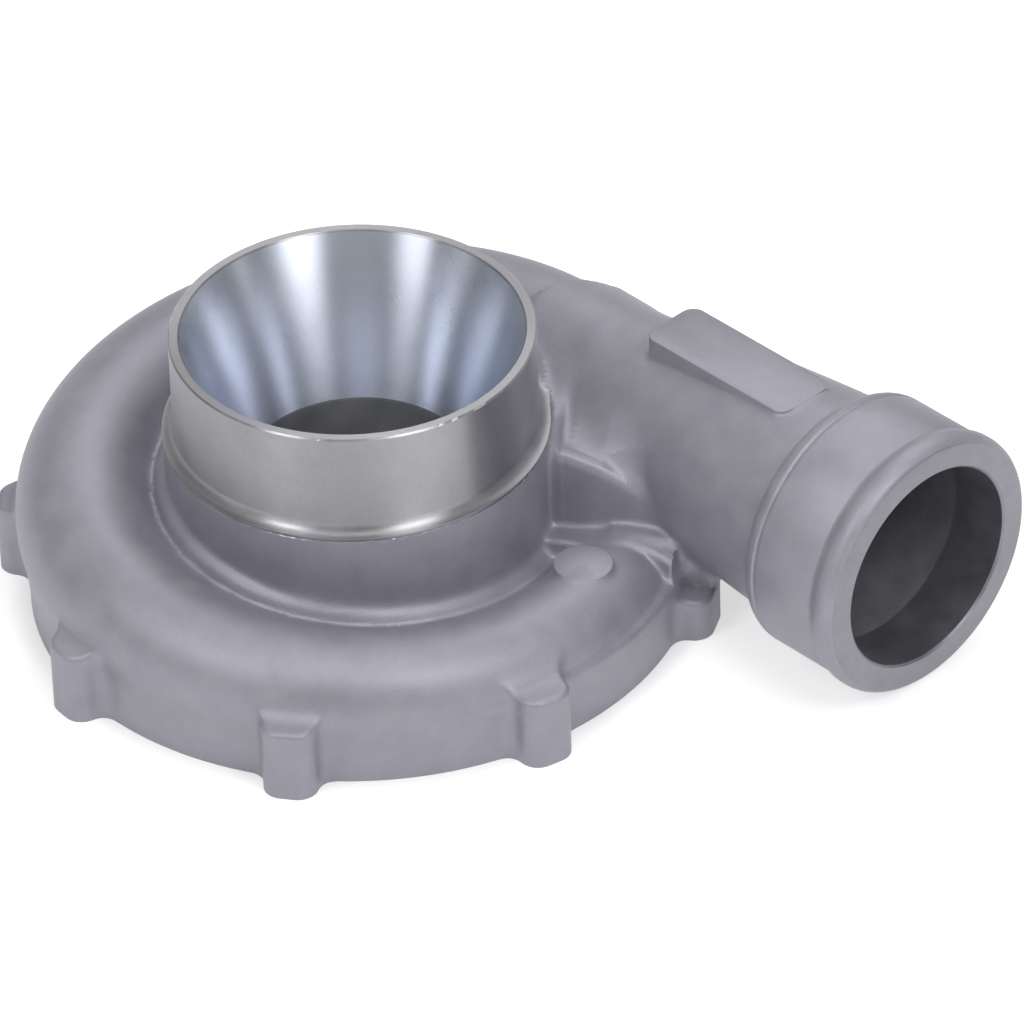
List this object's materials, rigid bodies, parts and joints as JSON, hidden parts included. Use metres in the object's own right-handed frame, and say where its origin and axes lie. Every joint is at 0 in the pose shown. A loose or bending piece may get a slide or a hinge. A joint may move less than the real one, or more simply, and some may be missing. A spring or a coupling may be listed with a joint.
{
  "type": "turbo compressor housing",
  "caption": "Cast scroll housing of a centrifugal compressor, with a machined bell-mouth inlet, a flanged back with bolt bosses and a beaded tangential outlet duct.",
  "frame": {"origin": "centre of the compressor axis at the machined rear face", "axes": "+Z along the compressor axis towards the inlet; +X the way the outlet duct points, on the +Y side of the axis"},
  "size_m": [0.2498, 0.2154, 0.084],
  "materials": {
    "cast_aluminium": "sand-cast and shot-blasted, turned bright at the inlet bell and spigot"
  },
  "bodies": {
    "root": {"compressor_housing": "cast_aluminium"}
  },
  "joints": []
}
